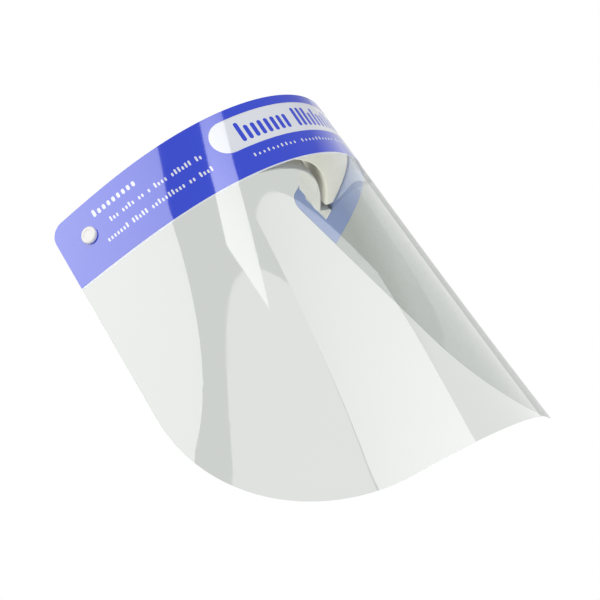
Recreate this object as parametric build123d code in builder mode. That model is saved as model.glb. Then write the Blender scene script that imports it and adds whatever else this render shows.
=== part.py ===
from build123d import *
from math import atan2, cos, hypot, pi, radians, sin
import os

# Disposable face shield: a clear sheet curved round the brow, with a printed header band,
# a foam brow pad and an elastic strap snapped to the two ends of the header.
# Millimetres. +Z is up, -Y is the front and +X is the wearer's left.
# The origin is the middle of the foam pad's rear face, where the forehead rests.

# The clear sheet, as it is cut flat
sheet_width = 320.0
sheet_height = 220.0
sheet_thickness = 0.3
top_corner_radius = 9.0
bottom_corner_radius = 92.0

# How it is curved: each half turns back by this many degrees, most of it near the brow
top_turn = 71.3
bottom_turn = 45.2
bend_fade = 1.24  # power of the cosine that the bend dies away with, towards the sides
bottom_lead = 2.3  # the bottom edge stands this far in front of the top edge

# The printed header: a white base with a blue band over it
header_height = 41.9
base_showing = 0.8  # white line left under the blue band
ink_thickness = 0.08
ink_gap = 0.02
window_half_width = 58.5
window_height = 20.0
window_drop = 5.5

# The foam brow pad and its tape
foam_half_length = 128.0
foam_height = 25.4
foam_drop = 1.6
foam_middle = 25.0
foam_end = 7.0
tape_thickness = 0.25
tape_margin = 2.0
layer_gap = 0.05  # between neighbouring layers

# The elastic strap, stored tucked behind the pad
strap_width = 20.0
strap_thickness = 1.2
strap_clearance = 4.0
loop_half_length = 112.0  # beyond this the strap bends and twists instead of swinging
loop_gap = 0.3  # between the swinging loop and each bending end
strap_tip = 146.0  # where the strap's end lies, from the middle of the sheet

# The snaps that hold the strap
snap_inset = 19.8  # from the sheet's side edge
snap_drop = 18.4  # from its top edge
cap_radius = 4.7
cap_height = 1.9
cap_round = 0.8
dish_radius = 2.9
dish_depth = 0.25
post_radius = 1.9
post_clearance = 0.1
socket_radius = 4.0
socket_height = 1.8
socket_round = 0.5

foam_front = sheet_thickness + tape_thickness + 2 * layer_gap
top_z = foam_drop + foam_height / 2
bottom_z = top_z - sheet_height
header_z = top_z - header_height
half_width = sheet_width / 2
seat_depth = foam_front + foam_middle  # from the sheet's outer face to the origin
snap_s = half_width - snap_inset
snap_z = top_z - snap_drop
reach = 400.0  # longer than the shield, for cutters


def bend_curve(end_turn, lead):
    # One edge of the bent sheet, from its middle outwards: x, y and turn at each millimetre
    fade = [cos(pi * (k + 0.5) / sheet_width) ** bend_fade for k in range(int(half_width))]
    x, y, turn = 0.0, -lead - seat_depth, 0.0
    stations = [(x, y, turn)]
    for share in fade:
        step = radians(end_turn) * share / sum(fade)
        x += cos(turn + step / 2)
        y += sin(turn + step / 2)
        turn += step
        stations.append((x, y, turn))
    return stations


top_curve = bend_curve(top_turn, 0.0)
bottom_curve = bend_curve(bottom_turn, bottom_lead)


def station(curve, s):
    k = min(int(abs(s)), len(curve) - 2)
    part = abs(s) - k
    x, y, turn = [a + (b - a) * part for a, b in zip(curve[k], curve[k + 1])]
    side = 1 if s >= 0 else -1
    return side * x, y, side * turn


def on_sheet(s, z, depth=0.0):
    # The point s along the sheet from its middle, at height z, depth behind its outer face
    share = (z - bottom_z) / sheet_height
    top_x, top_y, top_angle = station(top_curve, s)
    low_x, low_y, low_angle = station(bottom_curve, s)
    along_x = cos(low_angle) + (cos(top_angle) - cos(low_angle)) * share
    along_y = sin(low_angle) + (sin(top_angle) - sin(low_angle)) * share
    length = hypot(along_x, along_y)
    x = low_x + (top_x - low_x) * share - depth * along_y / length
    y = low_y + (top_y - low_y) * share + depth * along_x / length
    return x, y


def snap_plane(side):
    # Lies on the sheet's outer face at a snap, facing outwards
    s = side * snap_s
    x, y = on_sheet(s, snap_z)
    top_x, top_y, top_angle = station(top_curve, s)
    low_x, low_y, low_angle = station(bottom_curve, s)
    turn = low_angle + (top_angle - low_angle) * (snap_z - bottom_z) / sheet_height
    rise = cos(turn) * (top_y - low_y) - sin(turn) * (top_x - low_x)
    facing = (sheet_height * sin(turn), -sheet_height * cos(turn), rise)
    return Plane(origin=(x, y, snap_z), x_dir=(cos(turn), sin(turn), 0), z_dir=facing)


def evenly(first, last, count):
    return [first + (last - first) * k / (count - 1) for k in range(count)]


def layer_section(z, reach_s, front, back):
    # Cross-section of a layer that follows the sheet, between two depths given for each s
    places = evenly(-reach_s, reach_s, 33)
    with BuildSketch(Plane.XY.offset(z)) as section:
        with BuildLine():
            near = Spline(*[on_sheet(s, z, front(s)) for s in places])
            far = Spline(*[on_sheet(s, z, back(s)) for s in places])
            Line(near @ 0, far @ 0)
            Line(near @ 1, far @ 1)
        make_face()
    return section.sketch


def strip_section(z, route, thickness):
    # Cross-section of a strip of even thickness whose middle follows (s, depth) places
    points = [on_sheet(s, z, depth) for s, depth in route]
    sides = ([], [])
    for k, (x, y) in enumerate(points):
        before, after = points[max(k - 1, 0)], points[min(k + 1, len(points) - 1)]
        angle = atan2(after[1] - before[1], after[0] - before[0])
        for side, row in zip((-0.5, 0.5), sides):
            row.append((x - side * thickness * sin(angle), y + side * thickness * cos(angle)))
    with BuildSketch(Plane.XY.offset(z)) as section:
        with BuildLine():
            near = Spline(*sides[0])
            far = Spline(*sides[1])
            Line(near @ 0, far @ 0)
            Line(near @ 1, far @ 1)
        make_face()
    return section.sketch


def corner_cutter(corner_s, corner_z, radius, rising):
    # What lies outside a rounded corner of the flat sheet, seen from the side
    middle_z = corner_z - rising * radius
    arc = []
    for angle in evenly(0, pi / 2, 9):
        s = corner_s - radius + radius * sin(angle)
        z = middle_z + rising * radius * cos(angle)
        arc.append((on_sheet(s, z)[1], z))
    with BuildSketch(Plane.YZ) as outside:
        with BuildLine():
            Spline(*arc)
            Polyline(arc[-1], (reach, arc[-1][1]), (reach, corner_z + rising * reach),
                     (arc[0][0], corner_z + rising * reach), arc[0])
        make_face()
    return outside.sketch


def post_holes():
    planes = [snap_plane(side) for side in (-1, 1)]
    with BuildPart() as posts:
        for plane in planes:
            with BuildSketch(plane):
                Circle(post_radius + post_clearance)
            extrude(amount=snap_inset / 2, both=True)
    return posts.part


top_corner = corner_cutter(half_width, top_z, top_corner_radius, 1)
bottom_corner = corner_cutter(half_width, bottom_z, bottom_corner_radius, -1)
holes = post_holes()

# ---- The clear sheet ----
with BuildPart() as visor_sheet:
    outer, inner = lambda s: 0.0, lambda s: sheet_thickness
    loft([layer_section(z, half_width, outer, inner) for z in (bottom_z, top_z)], ruled=True)
    for corner in (top_corner, bottom_corner):
        extrude(corner, amount=reach, both=True, mode=Mode.SUBTRACT)
    add(holes, mode=Mode.SUBTRACT)
visor_sheet.part.label = "visor_sheet"

# ---- The printed header: the white base, then the blue band with its window ----
base_back = -ink_gap
base_front = base_back - ink_thickness
with BuildPart() as header_base_white:
    outer, inner = lambda s: base_front, lambda s: base_back
    loft([layer_section(z, half_width, outer, inner) for z in (header_z, top_z)], ruled=True)
    extrude(top_corner, amount=reach, both=True, mode=Mode.SUBTRACT)
    add(holes, mode=Mode.SUBTRACT)
header_base_white.part.label = "header_base_white"

band_back = base_front - ink_gap
band_front = band_back - ink_thickness
window_top = top_z - window_drop
window_middle = window_top - window_height / 2
window_bottom = window_top - window_height
window_tip = on_sheet(window_half_width, window_middle)[0]
window_end = on_sheet(window_half_width - window_height / 2, window_middle)[0]
with BuildPart() as header_band_blue:
    outer, inner = lambda s: band_front, lambda s: band_back
    low = header_z + base_showing
    loft([layer_section(z, half_width, outer, inner) for z in (low, top_z)], ruled=True)
    extrude(top_corner, amount=reach, both=True, mode=Mode.SUBTRACT)
    add(holes, mode=Mode.SUBTRACT)
    with BuildSketch(Plane.XZ):
        with BuildLine():
            Line((-window_end, window_top), (window_end, window_top))
            ThreePointArc((window_end, window_top), (window_tip, window_middle),
                          (window_end, window_bottom))
            Line((window_end, window_bottom), (-window_end, window_bottom))
            ThreePointArc((-window_end, window_bottom), (-window_tip, window_middle),
                          (-window_end, window_top))
        make_face()
    extrude(amount=reach, both=True, mode=Mode.SUBTRACT)
header_band_blue.part.label = "header_band_blue"


# ---- The foam brow pad and the tape that holds it ----
def foam_back(s):
    # The pad is thickest at the brow and thins towards its ends
    return foam_front + foam_end + (foam_middle - foam_end) * (1 - (s / foam_half_length) ** 2)


foam_top = top_z - foam_drop
foam_bottom = foam_top - foam_height
with BuildPart() as foam_tape:
    outer = lambda s: sheet_thickness + layer_gap
    inner = lambda s: sheet_thickness + layer_gap + tape_thickness
    edges = (foam_bottom + tape_margin, foam_top - tape_margin)
    length = foam_half_length - tape_margin
    loft([layer_section(z, length, outer, inner) for z in edges], ruled=True)
foam_tape.part.label = "foam_tape"

with BuildPart() as foam_pad:
    outer = lambda s: foam_front
    edges = (foam_bottom, foam_top)
    loft([layer_section(z, foam_half_length, outer, foam_back) for z in edges], ruled=True)
foam_pad.part.label = "foam_pad"


# ---- The elastic strap: a loop that swings, and two ends that bend ----
def behind_foam(s):
    return foam_back(s) + strap_clearance + strap_thickness / 2


strap_edges = (snap_z - strap_width / 2, snap_z + strap_width / 2)
with BuildPart() as strap_loop:
    route = [(s, behind_foam(s)) for s in evenly(-loop_half_length, loop_half_length, 25)]
    loft([strip_section(z, route, strap_thickness) for z in strap_edges], ruled=True)
strap_loop.part.label = "strap_loop"

tab_depth = sheet_thickness + layer_gap + strap_thickness / 2
drop_in = [(127.0, 1.0), (129.2, 0.88), (130.8, 0.65), (132.0, 0.42), (133.2, 0.18), (134.8, 0.02)]
end_route = [(s, behind_foam(s)) for s in evenly(loop_half_length + loop_gap, 124.0, 4)]
end_route += [(s, tab_depth + (behind_foam(127.0) - tab_depth) * share) for s, share in drop_in]
end_route += [(s, tab_depth) for s in evenly(137.0, strap_tip, 4)]
strap_ends = {}
for name, side in (("strap_end_left", 1), ("strap_end_right", -1)):
    with BuildPart() as strap_end:
        route = [(side * s, depth) for s, depth in end_route]
        loft([strip_section(z, route, strap_thickness) for z in strap_edges], ruled=True)
        add(holes, mode=Mode.SUBTRACT)
    strap_end.part.label = name
    strap_ends[name] = strap_end

# ---- The snaps: a cap with its post outside, a socket inside ----
cap_bottom = -band_front + layer_gap
socket_top = -(tab_depth + strap_thickness / 2 + layer_gap)
post_bottom = socket_top - socket_height
snap_parts = {}
for side_name, side in (("left", 1), ("right", -1)):
    plane = snap_plane(side)
    with BuildPart() as snap_cap:
        with BuildSketch(plane.offset(cap_bottom)):
            Circle(cap_radius)
        extrude(amount=cap_height)
        with BuildSketch(plane.offset(post_bottom)):
            Circle(post_radius)
        extrude(amount=cap_bottom - post_bottom)
        with BuildSketch(plane.offset(cap_bottom + cap_height)):
            Circle(dish_radius)
        extrude(amount=-dish_depth, mode=Mode.SUBTRACT)
        rims = [edge for edge in snap_cap.edges().filter_by(GeomType.CIRCLE)
                if abs(edge.radius - cap_radius) < 0.01]
        crown = max(rims, key=lambda edge: plane.to_local_coords(edge.center()).Z)
        fillet(crown, radius=cap_round)
    snap_cap.part.label = "snap_cap_" + side_name
    snap_parts[snap_cap.part.label] = snap_cap
    with BuildPart() as snap_socket:
        with BuildSketch(plane.offset(socket_top)):
            Circle(socket_radius)
            Circle(post_radius + post_clearance, mode=Mode.SUBTRACT)
        extrude(amount=-socket_height)
        rims = [edge for edge in snap_socket.edges().filter_by(GeomType.CIRCLE)
                if abs(edge.radius - socket_radius) < 0.01]
        foot = min(rims, key=lambda edge: plane.to_local_coords(edge.center()).Z)
        fillet(foot, radius=socket_round)
    snap_socket.part.label = "snap_socket_" + side_name
    snap_parts[snap_socket.part.label] = snap_socket

os.makedirs("parts", exist_ok=True)
export_step(visor_sheet.part, "parts/visor_sheet.step")
export_step(header_base_white.part, "parts/header_base_white.step")
export_step(header_band_blue.part, "parts/header_band_blue.step")
export_step(foam_tape.part, "parts/foam_tape.step")
export_step(foam_pad.part, "parts/foam_pad.step")
export_step(strap_loop.part, "parts/strap_loop.step")
for name, piece in {**strap_ends, **snap_parts}.items():
    export_step(piece.part, f"parts/{name}.step")
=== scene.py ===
from math import atan, cos, hypot, pi, radians, sin
import bpy
from mathutils import Matrix, Vector


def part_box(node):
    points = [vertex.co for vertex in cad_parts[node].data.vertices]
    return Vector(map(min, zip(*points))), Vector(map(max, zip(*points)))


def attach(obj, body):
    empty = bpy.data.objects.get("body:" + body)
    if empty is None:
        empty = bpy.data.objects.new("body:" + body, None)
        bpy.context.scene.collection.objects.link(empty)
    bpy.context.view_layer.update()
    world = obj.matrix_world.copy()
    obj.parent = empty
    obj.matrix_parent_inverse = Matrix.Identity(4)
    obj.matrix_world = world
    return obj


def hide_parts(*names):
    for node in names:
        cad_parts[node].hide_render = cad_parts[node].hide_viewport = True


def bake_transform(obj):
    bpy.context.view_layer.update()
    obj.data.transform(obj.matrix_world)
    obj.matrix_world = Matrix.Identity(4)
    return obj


# Disposable face shield: clear film sheet, printed header, foam brow pad, elastic strap on snaps.
# Metres, +Z up, -Y front. Sheet pieces are modelled flat, as they are cut: x runs along the sheet
# from its middle, y is the depth behind its outer face, z is the height. Then they are bent.

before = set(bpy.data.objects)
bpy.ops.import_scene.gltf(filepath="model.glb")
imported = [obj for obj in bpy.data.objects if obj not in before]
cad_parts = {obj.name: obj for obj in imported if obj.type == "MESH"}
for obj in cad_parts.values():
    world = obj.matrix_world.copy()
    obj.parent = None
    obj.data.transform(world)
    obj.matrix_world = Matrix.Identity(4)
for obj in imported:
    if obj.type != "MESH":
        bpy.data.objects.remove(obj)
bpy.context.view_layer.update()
sheetLow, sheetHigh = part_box("visor_sheet")
print("frame loaded")

sheet = {
    "halfWidth": 0.160,
    "thickness": 0.0003,
    "topCorner": 0.009,
    "bottomCorner": 0.092,
    "topTurn": 71.3,        # degrees that each half turns back, along the top edge
    "bottomTurn": 45.2,
    "bendFade": 1.24,
    "bottomLead": 0.0023,   # the bottom edge stands this far in front
    "columnStep": 0.002,
    "rowStep": 0.010,
}
topZ, bottomZ = sheetHigh.z, sheetLow.z
seatDepth = -sheetLow.y - sheet["bottomLead"]
snapPlace = {"s": 0.1402, "z": topZ - 0.0184, "hole": 0.002}


def bendCurve(endTurn, lead):
    # one edge of the bent sheet at each millimetre from its middle: x, y and turn
    steps = round(sheet["halfWidth"] * 1000)
    fade = [cos(pi * (k + 0.5) / (2 * steps)) ** sheet["bendFade"] for k in range(steps)]
    x, y, turn = 0.0, -lead - seatDepth, 0.0
    stations = [(x, y, turn)]
    for share in fade:
        step = radians(endTurn) * share / sum(fade)
        x += 0.001 * cos(turn + step / 2)
        y += 0.001 * sin(turn + step / 2)
        turn += step
        stations.append((x, y, turn))
    return stations


topCurve = bendCurve(sheet["topTurn"], 0.0)
bottomCurve = bendCurve(sheet["bottomTurn"], sheet["bottomLead"])


def station(curve, s):
    k = min(int(abs(s) * 1000), len(curve) - 2)
    part = abs(s) * 1000 - k
    x, y, turn = [a + (b - a) * part for a, b in zip(curve[k], curve[k + 1])]
    side = 1 if s >= 0 else -1
    return side * x, y, side * turn


def onSheet(s, z, depth=0.0):
    share = (z - bottomZ) / (topZ - bottomZ)
    topX, topY, topAngle = station(topCurve, s)
    lowX, lowY, lowAngle = station(bottomCurve, s)
    alongX = cos(lowAngle) + (cos(topAngle) - cos(lowAngle)) * share
    alongY = sin(lowAngle) + (sin(topAngle) - sin(lowAngle)) * share
    length = hypot(alongX, alongY)
    x = lowX + (topX - lowX) * share - depth * alongY / length
    y = lowY + (topY - lowY) * share + depth * alongX / length
    return Vector((x, y, z))


def bendOnSheet(piece):
    for vertex in piece.data.vertices:
        s, depth, z = vertex.co
        vertex.co = onSheet(s, z, depth)
    piece.data.update()


# ---- modelling helpers ----
def onlySelect(piece):
    if bpy.context.object and bpy.context.object.mode != "OBJECT":
        bpy.ops.object.mode_set(mode="OBJECT")
    bpy.ops.object.select_all(action="DESELECT")
    piece.select_set(True)
    bpy.context.view_layer.objects.active = piece


def newPiece(name):
    piece = bpy.context.object
    piece.name = piece.data.name = name
    bpy.ops.object.transform_apply(location=True, rotation=True, scale=True)
    return piece


def divide(piece, along, places):
    # cuts the whole mesh across, at each place along one axis
    onlySelect(piece)
    bpy.ops.object.mode_set(mode="EDIT")
    for place in places:
        bpy.ops.mesh.select_all(action="SELECT")
        bpy.ops.mesh.bisect(plane_co=along * place, plane_no=along)
    bpy.ops.mesh.select_all(action="SELECT")
    bpy.ops.mesh.normals_make_consistent(inside=False)
    bpy.ops.object.mode_set(mode="OBJECT")


def between(low, high, step):
    count = max(round((high - low) / step), 1)
    return [low + (high - low) * k / count for k in range(1, count)]


def useModifier(piece, kind, **settings):
    onlySelect(piece)
    modifier = piece.modifiers.new(kind.title(), kind)
    for name, value in settings.items():
        setattr(modifier, name, value)
    bpy.ops.object.modifier_apply(modifier=modifier.name)


def cutAway(piece, cutter):
    useModifier(piece, "BOOLEAN", operation="DIFFERENCE", solver="EXACT", object=cutter)
    bpy.data.objects.remove(cutter)


def roundedPlate(name, left, right, low, high, front, thickness, corners):
    # flat closed plate; corners are (vertex rule, radius) pairs
    bpy.ops.object.select_all(action="DESELECT")
    middle = ((left + right) / 2, front, (low + high) / 2)
    bpy.ops.mesh.primitive_plane_add(size=1, location=middle, rotation=(pi / 2, 0, 0))
    bpy.context.object.scale = (right - left, high - low, 1)
    plate = newPiece(name)
    for rule, radius in corners:
        onlySelect(plate)
        bpy.ops.object.mode_set(mode="EDIT")
        bpy.ops.mesh.select_mode(type="VERT")
        bpy.ops.mesh.select_all(action="DESELECT")
        bpy.ops.object.mode_set(mode="OBJECT")
        for vertex in plate.data.vertices:
            vertex.select = rule(vertex.co)
        bpy.ops.object.mode_set(mode="EDIT")
        steps = max(round(radius * 1000 / 3.5), 8)
        bpy.ops.mesh.bevel(offset=radius, segments=steps, affect="VERTICES", profile=0.5)
        bpy.ops.object.mode_set(mode="OBJECT")
    onlySelect(plate)
    bpy.ops.object.mode_set(mode="EDIT")
    bpy.ops.mesh.select_all(action="SELECT")
    bpy.ops.mesh.extrude_region_move(TRANSFORM_OT_translate={"value": (0, thickness, 0)})
    bpy.ops.mesh.select_all(action="SELECT")
    bpy.ops.mesh.normals_make_consistent(inside=False)
    bpy.ops.object.mode_set(mode="OBJECT")
    return plate


def snapHoles(piece, sides=(-1, 1)):
    for side in sides:
        bpy.ops.object.select_all(action="DESELECT")
        place = (side * snapPlace["s"], 0, snapPlace["z"])
        bpy.ops.mesh.primitive_cylinder_add(vertices=24, radius=snapPlace["hole"], depth=0.01,
                                            location=place, rotation=(pi / 2, 0, 0))
        cutAway(piece, newPiece("hole"))


def keepFlatPlace(piece):
    # a UV map in millimetres along and up the flat piece, for patterns that follow it
    layer = piece.data.uv_layers.get("flatPlace") or piece.data.uv_layers.new(name="flatPlace")
    for loop in piece.data.loops:
        s, depth, z = piece.data.vertices[loop.vertex_index].co
        layer.data[loop.index].uv = (s * 1000, z * 1000)
    for other in [one for one in piece.data.uv_layers if one.name != "flatPlace"]:
        piece.data.uv_layers.remove(other)


def smoothOver(piece, angle=35):
    onlySelect(piece)
    bpy.ops.object.shade_smooth_by_angle(angle=radians(angle))


def wear(piece, *materials):
    piece.data.materials.clear()
    for material in materials:
        piece.data.materials.append(material)


# ---- material helpers ----
def toLinear(hexValue):
    channels = [int(hexValue[k:k + 2], 16) / 255 for k in (0, 2, 4)]
    return [c / 12.92 if c <= 0.04045 else ((c + 0.055) / 1.055) ** 2.4 for c in channels] + [1.0]


def addNode(tree, kind, settings=(), links=()):
    node = tree.nodes.new("ShaderNode" + kind)
    for name, value in dict(settings).items():
        if isinstance(name, int) or name in node.inputs:
            node.inputs[name].default_value = value
        else:
            setattr(node, name, value)
    for name, source in dict(links).items():
        tree.links.new(source, node.inputs[name])
    return node


def newMaterial(name):
    material = bpy.data.materials.new(name)
    material.use_nodes = True
    material.node_tree.nodes.clear()
    return material, material.node_tree


def perMetre(millimetres):
    return 1000 / millimetres  # the scale of a pattern whose repeat is this long


# ---- polished PET film, as extruded: clear, faintly grey, with sharp reflections ----
petFilm = {
    "tint": "e7e9e7",        # of each of its two faces
    "coveredTint": "f9faf9",  # where the print backs it
    "ior": 1.9,              # stands for the reflections of both faces together
    "smearSpacing": 18,      # millimetres, of the handling marks
    "smooth": 0.015,         # roughness, between them and in them
    "smeared": 0.045,
}


def polishedPetFilm(name, tint):
    # mostly see-through; it mirrors bright things, more so where it is seen at a slant
    material, tree = newMaterial(name)
    place = addNode(tree, "TexCoord")
    smear = addNode(tree, "TexNoise", {"Scale": perMetre(petFilm["smearSpacing"]), "Detail": 3.0},
                    {"Vector": place.outputs["Object"]})
    rough = addNode(tree, "MapRange", {"From Min": 0.35, "From Max": 0.75, "To Min": petFilm["smooth"],
                                       "To Max": petFilm["smeared"]}, {"Value": smear.outputs["Fac"]})
    clear = addNode(tree, "BsdfTransparent", {"Color": toLinear(tint)})
    shine = addNode(tree, "BsdfAnisotropic", {"Color": (1, 1, 1, 1), "distribution": "GGX"},
                    {"Roughness": rough.outputs["Result"]})
    facing = addNode(tree, "Fresnel", {"IOR": petFilm["ior"]})
    side = addNode(tree, "NewGeometry")
    near = addNode(tree, "Math", {"operation": "SUBTRACT", 0: 1.0}, {1: side.outputs["Backfacing"]})
    share = addNode(tree, "Math", {"operation": "MULTIPLY"},
                    {0: facing.outputs["Fac"], 1: near.outputs["Value"]})
    both = addNode(tree, "MixShader", {}, {0: share.outputs["Value"], 1: clear.outputs["BSDF"],
                                           2: shine.outputs["BSDF"]})
    addNode(tree, "OutputMaterial", {}, {"Surface": both.outputs["Shader"]})
    return material


petRim = {
    "tint": "dfe2df",
    "frosted": 0.45,         # the share of it that the cut leaves dull
    "grainSize": 1.5,        # millimetres
    "darkest": 0.62,
    "palest": 0.8,
}


def cutPetEdge():
    # the die-cut rim of the film: it catches light and is not quite clear
    material, tree = newMaterial("die-cut PET rim")
    place = addNode(tree, "TexCoord")
    grain = addNode(tree, "TexNoise", {"Scale": perMetre(petRim["grainSize"])},
                    {"Vector": place.outputs["Object"]})
    shade = addNode(tree, "MapRange", {"To Min": petRim["darkest"], "To Max": petRim["palest"]},
                    {"Value": grain.outputs["Fac"]})
    frost = addNode(tree, "BsdfDiffuse", {}, {"Color": shade.outputs["Result"]})
    clear = addNode(tree, "BsdfTransparent", {"Color": toLinear(petRim["tint"])})
    both = addNode(tree, "MixShader", {0: petRim["frosted"]},
                   {1: clear.outputs["BSDF"], 2: frost.outputs["BSDF"]})
    addNode(tree, "OutputMaterial", {}, {"Surface": both.outputs["Shader"]})
    return material


# ---- the header's places, and its screen-printed inks, cured to a hard gloss ----
header = {
    "height": 0.0419,
    "baseShowing": 0.0008,   # a thin white line left under the blue
    "baseFront": -0.0001,
    "bandFront": -0.0002,
    "inkThickness": 0.00008,
    "windowHalf": 0.0585,
    "windowHeight": 0.020,
    "windowDrop": 0.0055,
}
headerZ = topZ - header["height"]
windowTop = topZ - header["windowDrop"]

ink = {
    "blue": "1a3dd4",
    "blueDeep": "1638cc",
    "white": "e3e5ea",
    "whiteCool": "d9deea",
    "showThrough": "a8bdfa",  # the blue band seen from behind, through the white base
    "showDeep": "a0b6f7",
    "coatIor": 1.78,          # a strong gloss, from the ink and the film together
    "coatRoughness": 0.03,
    "roughness": 0.05,
    "cloudSpacing": 35,       # millimetres, of the faint change in ink weight
    "peelSpacing": 1.4,       # millimetres, of the ripple left by the screen
    "peelDepth": 0.00005,
}


def printedInk(name, first, second, behind=False):
    # the ripple of a screen print gives its reflections a slightly broken edge
    material, tree = newMaterial(name)
    place = addNode(tree, "TexCoord")
    cloud = addNode(tree, "TexNoise", {"Scale": perMetre(ink["cloudSpacing"]), "Detail": 2.0},
                    {"Vector": place.outputs["Object"]})
    colour = addNode(tree, "Mix", {"data_type": "RGBA", 6: toLinear(first), 7: toLinear(second)},
                     {0: cloud.outputs["Fac"]})
    shown = colour.outputs[2]
    if behind:  # the band's window has no blue to show through, so it stays white
        endRound = header["windowHeight"] / 2 * 1000
        straight = header["windowHalf"] * 1000 - endRound
        flat = addNode(tree, "UVMap", {"uv_map": "flatPlace"})
        split = addNode(tree, "SeparateXYZ", {}, {"Vector": flat.outputs["UV"]})
        across = addNode(tree, "Math", {"operation": "ABSOLUTE"}, {0: split.outputs["X"]})
        past = addNode(tree, "Math", {"operation": "SUBTRACT", 1: straight}, {0: across.outputs["Value"]})
        held = addNode(tree, "Math", {"operation": "MAXIMUM", 1: 0.0}, {0: past.outputs["Value"]})
        above = addNode(tree, "Math", {"operation": "SUBTRACT", 1: windowTop * 1000 - endRound},
                        {0: split.outputs["Y"]})
        pair = addNode(tree, "CombineXYZ", {}, {"X": held.outputs["Value"], "Y": above.outputs["Value"]})
        away = addNode(tree, "VectorMath", {"operation": "LENGTH"}, {0: pair.outputs["Vector"]})
        inside = addNode(tree, "MapRange", {"From Min": endRound - 0.4, "From Max": endRound + 0.2,
                                            "To Min": 1.0, "To Max": 0.0}, {"Value": away.outputs["Value"]})
        lit = addNode(tree, "Mix", {"data_type": "RGBA", 7: toLinear(ink["white"])},
                      {0: inside.outputs["Result"], 6: shown})
        shown = lit.outputs[2]
    ripple = addNode(tree, "TexNoise", {"Scale": perMetre(ink["peelSpacing"])},
                     {"Vector": place.outputs["Object"]})
    bump = addNode(tree, "Bump", {"Strength": 0.04, "Distance": ink["peelDepth"]},
                   {"Height": ripple.outputs["Fac"]})
    coat = addNode(tree, "BsdfPrincipled",
                   {"Roughness": ink["roughness"], "Coat Weight": 1.0,
                    "Coat Roughness": ink["coatRoughness"], "Coat IOR": ink["coatIor"]},
                   {"Base Color": shown, "Normal": bump.outputs["Normal"]})
    addNode(tree, "OutputMaterial", {}, {"Surface": coat.outputs["BSDF"]})
    return material


# ---- fine open-cell polyurethane foam, slit from a block ----
foam = {
    "cream": "ebe7dc",
    # the darker colour: painted shade in the pits, and faint yellowing where the patches are
    "shade": "d9d4c6",
    "cellSize": 0.9,         # millimetres; real cells are about half this, too fine to show
    "pitDepth": 0.0003,
    "patchSpacing": 22,      # millimetres, of the faint yellowing
    "crown": 0.0012,         # the rear face falls away by this much at its edges
    "edge": 0.0012,
}


def openCellFoam():
    # a soft matt face full of tiny pits; shade is painted darker into each pit, with faint yellowing in
    # patches
    material, tree = newMaterial("open-cell polyurethane foam")
    place = addNode(tree, "TexCoord")
    cells = addNode(tree, "TexVoronoi", {"Scale": perMetre(foam["cellSize"]), "feature": "SMOOTH_F1"},
                    {"Vector": place.outputs["Object"]})
    patch = addNode(tree, "TexNoise", {"Scale": perMetre(foam["patchSpacing"]), "Detail": 4.0},
                    {"Vector": place.outputs["Object"]})
    # painted shade, darkest at each pit's middle, scaled by the yellowing patches
    depth = addNode(tree, "MapRange", {"From Max": 0.7, "To Min": 0.85, "To Max": 0.0},
                    {"Value": cells.outputs["Distance"]})
    pitShadeAndYellowing = addNode(tree, "Math", {"operation": "MULTIPLY"},
                    {0: depth.outputs["Result"], 1: patch.outputs["Fac"]})
    colour = addNode(tree, "Mix", {"data_type": "RGBA", 6: toLinear(foam["cream"]),
                                   7: toLinear(foam["shade"])}, {0: pitShadeAndYellowing.outputs["Value"]})
    bump = addNode(tree, "Bump", {"Strength": 0.6, "Distance": foam["pitDepth"]},
                   {"Height": cells.outputs["Distance"]})
    soft = addNode(tree, "BsdfPrincipled", {"Roughness": 0.95, "Specular IOR Level": 0.2},
                   {"Base Color": colour.outputs[2], "Normal": bump.outputs["Normal"]})
    addNode(tree, "OutputMaterial", {}, {"Surface": soft.outputs["BSDF"]})
    return material


# ---- woven polyester elastic: cords of rubber covered by fine crosswise threads ----
elastic = {
    "width": 0.020,
    "thickness": 0.0012,
    "clearance": 0.004,      # behind the foam pad, so that it can swing past
    "loopHalf": 0.112,
    "endStart": 0.1123,
    "endTip": 0.146,
    "ribSpacing": 0.0016,    # the cords run along the strap, this far apart
    "ribDepth": 0.00016,
    # painted shade for the grooves of the weave; the random fibre tone also draws on it
    "pale": "e9e8e2",
    "paintedGrooveShade": "c9c8c2",
    "threadSpacing": 0.8,    # millimetres; real threads are about half this
    "fuzzSpacing": 1 / 3,    # millimetres, of the loose fibres
    "bandsPerUnit": 0.314,   # the scale at which one band of the wave pattern is one unit wide
    "padEnd": 0.127,         # the strap follows the pad's curve up to here
    "bendStart": 0.1272,     # past it the strap bends in, and lies flat after this bend
    "bendLength": 0.0088,
    "blendStart": 0.1325,    # from here out the end stays with the visor
    "tabGap": 0.00005,       # between the flat tab and the film
    "selvedge": 0.0006,      # each long edge is rounded over this width, down to its thinnest share
    "thinnest": 0.12,
    "loopStep": 0.003,       # how finely the pieces are cut across, and from edge to edge
    "endStep": 0.0012,
    "rowStep": 0.0004,
}


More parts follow.
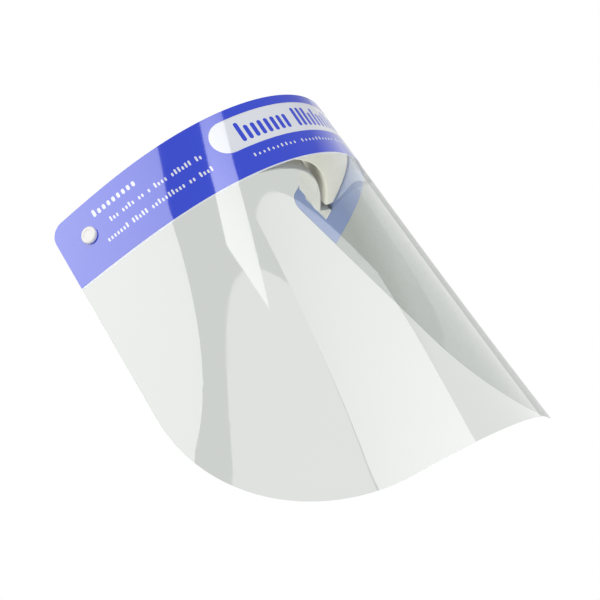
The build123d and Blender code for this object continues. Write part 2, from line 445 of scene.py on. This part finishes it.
def wovenElastic():
    # dull ribbed cloth with a faint sheen from its loose fibres; shade is painted darker into the grooves
    # of the weave, with random fibre tone over it
    material, tree = newMaterial("woven polyester elastic")
    flat = addNode(tree, "UVMap", {"uv_map": "flatPlace"})
    threadScale = elastic["bandsPerUnit"] / elastic["threadSpacing"]
    across = addNode(tree, "TexWave",
                     {"wave_type": "BANDS", "bands_direction": "X", "Scale": threadScale,
                      "Distortion": 0.6, "Detail Scale": 2.0}, {"Vector": flat.outputs["UV"]})
    ribScale = elastic["bandsPerUnit"] / (elastic["ribSpacing"] * 1000)
    ribs = addNode(tree, "TexWave", {"wave_type": "BANDS", "bands_direction": "Y", "Scale": ribScale,
                                     "Distortion": 0.2}, {"Vector": flat.outputs["UV"]})
    weave = addNode(tree, "Math", {"operation": "MULTIPLY"},
                    {0: across.outputs["Fac"], 1: ribs.outputs["Fac"]})
    fibre = addNode(tree, "TexNoise", {"Scale": 1 / elastic["fuzzSpacing"], "Detail": 4.0},
                    {"Vector": flat.outputs["UV"]})
    # painted groove shade from the weave, with random fibre tone added
    paintedShadeAndFibreTone = addNode(tree, "Math", {"operation": "MULTIPLY_ADD", 1: 0.35},
                      {0: fibre.outputs["Fac"], 2: weave.outputs["Value"]})
    colour = addNode(tree, "Mix", {"data_type": "RGBA", 6: toLinear(elastic["paintedGrooveShade"]),
                                   7: toLinear(elastic["pale"])}, {0: paintedShadeAndFibreTone.outputs["Value"]})
    bump = addNode(tree, "Bump", {"Strength": 0.5, "Distance": 0.0002},
                   {"Height": weave.outputs["Value"]})
    cloth = addNode(tree, "BsdfPrincipled",
                    {"Roughness": 0.88, "Sheen Weight": 0.25, "Sheen Roughness": 0.5},
                    {"Base Color": colour.outputs[2], "Normal": bump.outputs["Normal"]})
    addNode(tree, "OutputMaterial", {}, {"Surface": cloth.outputs["BSDF"]})
    return material


# ---- injection-moulded polypropylene snaps and the clear-white acrylic tape ----
snapPlastic = {
    "white": "f4f3f1",
    "warm": "ebe9e6",
    "flowSpacing": 5.0,      # millimetres
    "grainSize": 0.5,
    "grainDepth": 0.00003,
    "roughness": 0.34,
    "ior": 1.49,
}
tapeFilm = {"white": "dddcd4", "warm": "d2d0c6", "streakSpacing": 9, "stretch": 0.15}


def mouldedPolypropylene():
    # waxy half-gloss, with the faint flow marks of a small moulding
    material, tree = newMaterial("moulded polypropylene")
    place = addNode(tree, "TexCoord")
    flow = addNode(tree, "TexNoise", {"Scale": perMetre(snapPlastic["flowSpacing"]), "Detail": 2.0},
                   {"Vector": place.outputs["Object"]})
    colour = addNode(tree, "Mix", {"data_type": "RGBA", 6: toLinear(snapPlastic["white"]),
                                   7: toLinear(snapPlastic["warm"])}, {0: flow.outputs["Fac"]})
    grain = addNode(tree, "TexNoise", {"Scale": perMetre(snapPlastic["grainSize"])},
                    {"Vector": place.outputs["Object"]})
    bump = addNode(tree, "Bump", {"Strength": 0.08, "Distance": snapPlastic["grainDepth"]},
                   {"Height": grain.outputs["Fac"]})
    shell = addNode(tree, "BsdfPrincipled",
                    {"Roughness": snapPlastic["roughness"], "IOR": snapPlastic["ior"]},
                    {"Base Color": colour.outputs[2], "Normal": bump.outputs["Normal"]})
    addNode(tree, "OutputMaterial", {}, {"Surface": shell.outputs["BSDF"]})
    return material


def acrylicTape():
    # double-sided tape: milky film with faint lengthwise streaks from its coating
    material, tree = newMaterial("acrylic adhesive tape")
    place = addNode(tree, "TexCoord")
    drawn = addNode(tree, "Mapping", {"Scale": (tapeFilm["stretch"], tapeFilm["stretch"], 1.0)},
                    {"Vector": place.outputs["Object"]})
    streak = addNode(tree, "TexNoise", {"Scale": perMetre(tapeFilm["streakSpacing"]), "Detail": 3.0},
                     {"Vector": drawn.outputs["Vector"]})
    colour = addNode(tree, "Mix", {"data_type": "RGBA", 6: toLinear(tapeFilm["white"]),
                                   7: toLinear(tapeFilm["warm"])}, {0: streak.outputs["Fac"]})
    rough = addNode(tree, "MapRange", {"To Min": 0.3, "To Max": 0.5}, {"Value": streak.outputs["Fac"]})
    skin = addNode(tree, "BsdfPrincipled", {}, {"Base Color": colour.outputs[2],
                                                "Roughness": rough.outputs["Result"]})
    addNode(tree, "OutputMaterial", {}, {"Surface": skin.outputs["BSDF"]})
    return material


filmMaterial = polishedPetFilm("polished PET film", petFilm["tint"])
coveredMaterial = polishedPetFilm("polished PET film under print", petFilm["coveredTint"])
rimMaterial = cutPetEdge()
blueInk = printedInk("screen-printed blue ink", ink["blue"], ink["blueDeep"])
whiteInk = printedInk("screen-printed white ink", ink["white"], ink["whiteCool"])
inkBehind = printedInk("white ink over blue, from behind", ink["showThrough"], ink["showDeep"], behind=True)
foamMaterial, elasticMaterial = openCellFoam(), wovenElastic()
plasticMaterial, tapeMaterial = mouldedPolypropylene(), acrylicTape()
print("materials made")


def dressPlate(plate, materials, chooseFor):
    # each face gets the material that the rule picks by its flat normal and middle
    wear(plate, *materials)
    for face in plate.data.polygons:
        face.material_index = chooseFor(face.normal, face.center)


def finishPlate(plate, low, high, half, alsoAt=()):
    # cut across finely enough to bend, with its flat place kept in a UV map
    divide(plate, Vector((1, 0, 0)), between(-half, half, sheet["columnStep"]))
    divide(plate, Vector((0, 0, 1)), [*between(low, high, sheet["rowStep"]), *alsoAt])
    keepFlatPlace(plate)


# ---- the clear sheet ----
visorSheet = roundedPlate("visorSheet", -sheet["halfWidth"], sheet["halfWidth"], bottomZ, topZ, 0.0,
                          sheet["thickness"],
                          [(lambda co: co.z < bottomZ + 0.001, sheet["bottomCorner"]),
                           (lambda co: co.z > topZ - 0.001, sheet["topCorner"])])
snapHoles(visorSheet)
finishPlate(visorSheet, bottomZ, topZ, sheet["halfWidth"], alsoAt=[headerZ])
dressPlate(visorSheet, [filmMaterial, rimMaterial, coveredMaterial],
           lambda normal, middle: 1 if abs(normal.y) < 0.5 else 2 if middle.z > headerZ else 0)
bendOnSheet(visorSheet)
smoothOver(visorSheet)
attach(visorSheet, "visor")
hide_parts("visor_sheet")
print("clear sheet bent")

# ---- the printed header: white base, blue band with its window ----
topRound = (lambda co: co.z > topZ - 0.001, sheet["topCorner"])

headerBase = roundedPlate("headerBase", -sheet["halfWidth"], sheet["halfWidth"], headerZ, topZ,
                          header["baseFront"], header["inkThickness"], [topRound])
snapHoles(headerBase)
finishPlate(headerBase, headerZ, topZ, sheet["halfWidth"])
dressPlate(headerBase, [whiteInk, inkBehind], lambda normal, middle: 1 if normal.y > 0.5 else 0)
bendOnSheet(headerBase)
smoothOver(headerBase)
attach(headerBase, "visor")
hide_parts("header_base_white")

headerBand = roundedPlate("headerBand", -sheet["halfWidth"], sheet["halfWidth"],
                          headerZ + header["baseShowing"], topZ, header["bandFront"],
                          header["inkThickness"], [topRound])
window = roundedPlate("window", -header["windowHalf"], header["windowHalf"],
                      windowTop - header["windowHeight"], windowTop, -0.002, 0.004,
                      [(lambda co: True, header["windowHeight"] * 0.4999)])
cutAway(headerBand, window)
snapHoles(headerBand)
finishPlate(headerBand, headerZ + header["baseShowing"], topZ, sheet["halfWidth"])
wear(headerBand, blueInk)
bendOnSheet(headerBand)
smoothOver(headerBand)
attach(headerBand, "visor")
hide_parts("header_band_blue")
print("header printed")

# ---- printed marks: plain rounded bars and dashes in place of lettering ----
marks = {
    "thickness": 0.00003,
    "sunk": 0.000005,        # into the ink below, so that no gap shows
    "barTop": 0.0094,        # below the sheet's top edge
    # pitch, width, tall height and short height of each kind of stroke
    "bar": (0.0043, 0.0025, 0.0125, 0.0092),
    "heading": (0.0034, 0.0019, 0.0045, 0.0032),
    "notice": (0.00215, 0.0011, 0.0032, 0.0022),
    "small": (0.0029, 0.0010, 0.0022, 0.0016),
}


def inkMarks(name, places, surface, material):
    # places are (left, right, low, high) of each rounded mark, on an ink face at this depth
    pieces = []
    for left, right, low, high in places:
        radius = min(right - left, high - low) * 0.49
        pieces.append(roundedPlate(name, left, right, low, high,
                                   surface - marks["thickness"] + marks["sunk"],
                                   marks["thickness"], [(lambda co: True, radius)]))
    onlySelect(pieces[0])
    for piece in pieces[1:]:
        piece.select_set(True)
    bpy.ops.object.join()
    piece = pieces[0]
    half = max(abs(edge) for place in places for edge in place[:2])
    divide(piece, Vector((1, 0, 0)), between(-half, half, sheet["columnStep"]))
    keepFlatPlace(piece)
    wear(piece, material)
    bendOnSheet(piece)
    smoothOver(piece)
    piece.name = piece.data.name = name
    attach(piece, "visor")
    return piece


def strokeRow(start, base, words, kind):
    # upright rounded strokes, grouped like words: t is tall, s is short; base is below the top edge
    pitch, width, tall, short = kind
    places, s = [], start
    for stroke in words:
        if stroke != " ":
            places.append((s, s + width, topZ - base, topZ - base + (tall if stroke == "t" else short)))
        s += pitch
    return places


def barRow():
    # two groups of bars, tall and short, along the middle of the window
    words = "tsssssss tttstssttst"
    pitch, width, tall, short = marks["bar"]
    start = -(len(words) - 1) / 2 * pitch - width / 2
    return strokeRow(start, marks["barTop"] + tall, words, marks["bar"])


def noticeRows():
    # a heading and two rows near each snap, and a small row under the window
    rows = strokeRow(-0.1325, 0.0115, "tssssssss", marks["heading"])
    rows += strokeRow(-0.1255, 0.0200, "tss ssts ss s tsss sttstt ts", marks["notice"])
    rows += strokeRow(-0.1325, 0.0292, "sssssst ttstt sstssttsss ss tsst", marks["notice"])
    mirrored = [(-right, -left, low, high) for left, right, low, high in rows]
    small = strokeRow(-0.0415, 0.0325, "tsstssttss tsssttssss tssst", marks["small"])
    return rows + mirrored + small


windowBars = inkMarks("windowBars", barRow(), header["baseFront"], blueInk)
noticeDashes = inkMarks("noticeDashes", noticeRows(), header["bandFront"], whiteInk)
print("marks printed")

# ---- the foam brow pad ----
padShape = {
    "halfLength": 0.128,
    "front": 0.00065,        # behind the sheet's outer face, on the tape
    "middle": 0.025,         # thickness at its middle and at its ends
    "end": 0.007,
    "columnStep": 0.004,
    "rowStep": 0.0025,
}
padLow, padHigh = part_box("foam_pad")[0].z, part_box("foam_pad")[1].z


def padBack(s):
    bulge = (padShape["middle"] - padShape["end"]) * (1 - (s / padShape["halfLength"]) ** 2)
    return padShape["front"] + padShape["end"] + bulge


bpy.ops.object.select_all(action="DESELECT")
bpy.ops.mesh.primitive_cube_add(size=1, location=(0, 0.5, (padLow + padHigh) / 2))
bpy.context.object.scale = (2 * padShape["halfLength"], 1, padHigh - padLow)
foamPad = newPiece("foamPad")
divide(foamPad, Vector((1, 0, 0)), between(-padShape["halfLength"], padShape["halfLength"],
                                           padShape["columnStep"]))
divide(foamPad, Vector((0, 0, 1)), between(padLow, padHigh, padShape["rowStep"]))
for vertex in foamPad.data.vertices:
    s, depth, z = vertex.co
    rise = (z - (padLow + padHigh) / 2) / ((padHigh - padLow) / 2)
    vertex.co.y = padBack(s) - foam["crown"] * rise * rise if depth > 0.5 else padShape["front"]
useModifier(foamPad, "BEVEL", width=foam["edge"], segments=3, limit_method="ANGLE",
            angle_limit=radians(50))
keepFlatPlace(foamPad)
wear(foamPad, foamMaterial)
bendOnSheet(foamPad)
smoothOver(foamPad, 60)
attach(foamPad, "visor")
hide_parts("foam_pad")
print("foam pad cut")


# ---- the elastic strap ----
def behindPad(s):
    return padBack(s) + elastic["clearance"] + elastic["thickness"] / 2


tabDepth = sheet["thickness"] + elastic["tabGap"] + elastic["thickness"] / 2


def strapDepth(s):
    # behind the pad, then in past its end to lie on the sheet under the snap
    s = abs(s)
    if s < elastic["padEnd"]:
        return behindPad(s)
    along = (s - elastic["bendStart"]) / elastic["bendLength"]
    share = 0.5 + 0.5 * cos(pi * min(max(along, 0.0), 1.0))
    return tabDepth + (behindPad(elastic["padEnd"]) - tabDepth) * share


def strapHalfThickness(height):
    # ribbed along its length, rounded at its two selvedges
    rib = elastic["ribDepth"] * (0.5 - 0.5 * cos(2 * pi * height / elastic["ribSpacing"]))
    toEdge = (elastic["width"] / 2 - abs(height)) / elastic["selvedge"]
    rounded = (1 - (1 - min(max(toEdge, 0.0), 1.0)) ** 2) ** 0.5
    return (elastic["thickness"] / 2 - rib) * max(rounded, elastic["thinnest"])


def strapPiece(name, start, tip, step):
    # a flat band, cut finely and then given its ribs and its path behind the pad
    bpy.ops.object.select_all(action="DESELECT")
    bpy.ops.mesh.primitive_cube_add(size=1, location=((start + tip) / 2, 0, snapPlace["z"]))
    bpy.context.object.scale = (tip - start, 0.001, elastic["width"])
    piece = newPiece(name)
    divide(piece, Vector((1, 0, 0)), between(start, tip, step))
    half = elastic["width"] / 2
    low, high = snapPlace["z"] - half, snapPlace["z"] + half
    divide(piece, Vector((0, 0, 1)), between(low, high, elastic["rowStep"]))
    keepFlatPlace(piece)
    nudge = 0.0002  # either side of a place, to find the path's slope there
    for vertex in piece.data.vertices:
        s, side, z = vertex.co
        slope = atan((strapDepth(s + nudge) - strapDepth(s - nudge)) / (2 * nudge))
        reach = strapHalfThickness(z - snapPlace["z"]) * (1 if side > 0 else -1)
        vertex.co = (s - reach * sin(slope), strapDepth(s) + reach * cos(slope), z)
    return piece


def finishStrap(piece):
    wear(piece, elasticMaterial)
    bendOnSheet(piece)
    smoothOver(piece, 50)


strapBand = strapPiece("strapBand", -elastic["loopHalf"], elastic["loopHalf"], elastic["loopStep"])
finishStrap(strapBand)
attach(strapBand, "strap")
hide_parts("strap_loop")

strapEnds = (("strapEndLeft", "strap_end_left", 1), ("strapEndRight", "strap_end_right", -1))
for endName, nodeName, side in strapEnds:
    near, tip = side * elastic["endStart"], side * elastic["endTip"]
    strapEnd = strapPiece(endName, min(near, tip), max(near, tip), elastic["endStep"])
    snapHoles(strapEnd, (side,))
    finishStrap(strapEnd)
    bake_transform(strapEnd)
    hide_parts(nodeName)
print("strap woven")

# ---- carried-over nodes: snaps and tape ----
for nodeName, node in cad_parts.items():
    if nodeName.startswith("snap_"):
        wear(node, plasticMaterial)
    if nodeName == "foam_tape":
        wear(node, tapeMaterial)

# ---- floor, light and camera ----
studio = {
    "target": (0.0, 0.02435, -0.0867),  # about the middle of the shield
    "floorZ": -0.42,
    "floorColour": "f3f3f2",
    "floorShade": "f0f0ef",
    "mottleSpacing": 300,    # millimetres
    "floorFade": (0.5, 2.2),  # metres from the middle, where it melts into the white backdrop
    "skySeen": 1.0,          # the plain white backdrop
    "skyLight": 0.82,        # what it gives to dull faces
    "skyShine": 0.36,        # what glossy faces reflect between the cards
}


def paleFloor():
    material, tree = newMaterial("matt painted board")
    place = addNode(tree, "TexCoord")
    mottle = addNode(tree, "TexNoise", {"Scale": perMetre(studio["mottleSpacing"])},
                     {"Vector": place.outputs["Object"]})
    colour = addNode(tree, "Mix", {"data_type": "RGBA", 6: toLinear(studio["floorColour"]),
                                   7: toLinear(studio["floorShade"])}, {0: mottle.outputs["Fac"]})
    board = addNode(tree, "BsdfPrincipled", {"Roughness": 0.8}, {"Base Color": colour.outputs[2]})
    away = addNode(tree, "VectorMath", {"operation": "LENGTH"}, {"Vector": place.outputs["Object"]})
    near, far = studio["floorFade"]
    fade = addNode(tree, "MapRange",
                   {"From Min": near, "From Max": far, "interpolation_type": "SMOOTHSTEP"},
                   {"Value": away.outputs["Value"]})
    gone = addNode(tree, "BsdfTransparent")
    both = addNode(tree, "MixShader", {}, {0: fade.outputs["Result"], 1: board.outputs["BSDF"],
                                           2: gone.outputs["BSDF"]})
    addNode(tree, "OutputMaterial", {}, {"Surface": both.outputs["Shader"]})
    return material


def plainStudio():
    world = bpy.data.worlds.new("white studio")
    bpy.context.scene.world = world
    world.use_nodes = True
    tree = world.node_tree
    tree.nodes.clear()
    path = addNode(tree, "LightPath")
    shine = addNode(tree, "Mix", {"data_type": "FLOAT", 2: studio["skyLight"], 3: studio["skyShine"]},
                    {0: path.outputs["Is Glossy Ray"]})
    seen = addNode(tree, "Mix", {"data_type": "FLOAT", 3: studio["skySeen"]},
                   {0: path.outputs["Is Camera Ray"], 2: shine.outputs[0]})
    sky = addNode(tree, "Background", {"Color": (1, 1, 1, 1)}, {"Strength": seen.outputs[0]})
    addNode(tree, "OutputWorld", {}, {"Surface": sky.outputs["Background"]})


def lightCard(name, azimuth, elevation, distance, corners, glows):
    # a glowing white card that the glossy faces reflect; corners are metres right and up on it,
    # in the order low left, low right, high left, high right, and each has its own glow
    away = Vector((sin(radians(azimuth)) * cos(radians(elevation)),
                   -cos(radians(azimuth)) * cos(radians(elevation)), sin(radians(elevation))))
    rightWay = away.cross(Vector((0, 0, 1))).normalized()
    upWay = rightWay.cross(away)
    bpy.ops.object.select_all(action="DESELECT")
    bpy.ops.mesh.primitive_plane_add(size=1)
    card = newPiece(name)
    layer = card.data.attributes.new(name="glow", type="FLOAT", domain="POINT")
    for vertex in card.data.vertices:
        corner = (vertex.co.x > 0) + 2 * (vertex.co.y > 0)
        across, rise = corners[corner]
        vertex.co = Vector(studio["target"]) + away * distance + rightWay * across + upWay * rise
        layer.data[vertex.index].value = glows[corner]
    material, tree = newMaterial(name + " glow")
    glow = addNode(tree, "Attribute", {"attribute_name": "glow"})
    shine = addNode(tree, "Emission", {"Color": (1, 1, 1, 1)}, {"Strength": glow.outputs["Fac"]})
    addNode(tree, "OutputMaterial", {}, {"Surface": shine.outputs["Emission"]})
    material.cycles.emission_sampling = "NONE"
    wear(card, material)
    card.visible_camera = card.visible_diffuse = card.visible_shadow = False


bpy.ops.object.select_all(action="DESELECT")
bpy.ops.mesh.primitive_plane_add(size=30, location=(0, 0, studio["floorZ"]))
studioFloor = newPiece("studioFloor")
wear(studioFloor, paleFloor())
plainStudio()
# each card: name, its direction (azimuth, elevation) and distance, its corners and their glows
reflected = [
    ("sideStrip", -32, 27, 1.2,
     [(-0.480, 0.155), (0.128, -0.072), (-0.200, 0.154), (0.264, 0.040)], (1.7, 3.4, 1.9, 3.4)),
    ("leftPanel", -90, 35, 1.5,
     [(-0.540, -0.6), (0.9, -0.6), (-0.540, 0.5), (0.9, 0.5)], (2.45, 2.9, 2.45, 3.1)),
    ("leftWing", -90, 35, 1.5,
     [(-0.541, 0.02), (-0.540, 0.02), (-1.450, 0.5), (-0.540, 0.5)], (2.45, 2.45, 1.6, 2.45)),
    ("frontLeftPanel", -45, 16, 1.55,
     [(-0.602, -0.35), (0.602, -0.35), (-0.560, 0.208), (0.535, 0.380)], (1.75, 1.75, 1.66, 1.65)),
    ("frontPanel", 0, 16, 1.5,
     [(-0.760, -0.30), (0.640, -0.30), (-0.954, 0.060), (0.610, 0.321)], (3.2, 3.2, 2.3, 1.6)),
    ("rightPanel", 62, 6, 1.5,
     [(-1.1, -0.3), (1.1, -0.3), (-1.1, 0.48), (1.1, 0.06)], (1.42, 1.42, 1.36, 1.36)),
    ("rightFade", 62, 6, 1.5,
     [(-1.1, 0.48), (1.1, 0.06), (-1.1, 0.76), (1.1, 0.34)], (1.36, 1.36, 0.36, 0.36)),
    ("rearRightPanel", 125, 10, 1.5,
     [(-1.3, -0.6), (1.1, -0.6), (-1.3, 0.8), (1.1, 0.8)], (0.78, 0.78, 0.78, 0.78)),
]
for cardValues in reflected:
    lightCard(*cardValues)


def softLight(name, place, size, power):
    bpy.ops.object.light_add(type="AREA", location=place)
    light = bpy.context.object
    light.name = name
    light.data.shape = "DISK"
    light.data.size = size
    light.data.energy = power
    aim = Vector(studio["target"]) - light.location
    light.rotation_euler = aim.to_track_quat("-Z", "Y").to_euler()
    light.visible_glossy = light.visible_camera = False


softLight("softBox", (-0.7, -0.9, 1.5), 1.0, 9)
softLight("backFill", (0.25, 1.1, -0.25), 1.2, 8)
softLight("lowFill", (0.05, 0.35, -0.41), 0.5, 4.2)

cameraView = {
    "place": (-0.5589, -0.3979, -0.2886),
    "lens": 79.2,
    "azimuth": -0.904,       # radians
    "elevation": -0.288,
    "roll": 0.568,
}
bpy.ops.object.camera_add(location=cameraView["place"])
camera = bpy.context.object
camera.name = "camera"
camera.data.lens = cameraView["lens"]
camera.data.clip_start = 0.01
turned = (Matrix.Rotation(cameraView["azimuth"], 4, "Z")
          @ Matrix.Rotation(pi / 2 - cameraView["elevation"], 4, "X")
          @ Matrix.Rotation(-cameraView["roll"], 4, "Z"))
camera.matrix_world = Matrix.Translation(cameraView["place"]) @ turned
bpy.context.scene.camera = camera
bpy.context.scene.view_settings.view_transform = "Standard"
print("studio set")
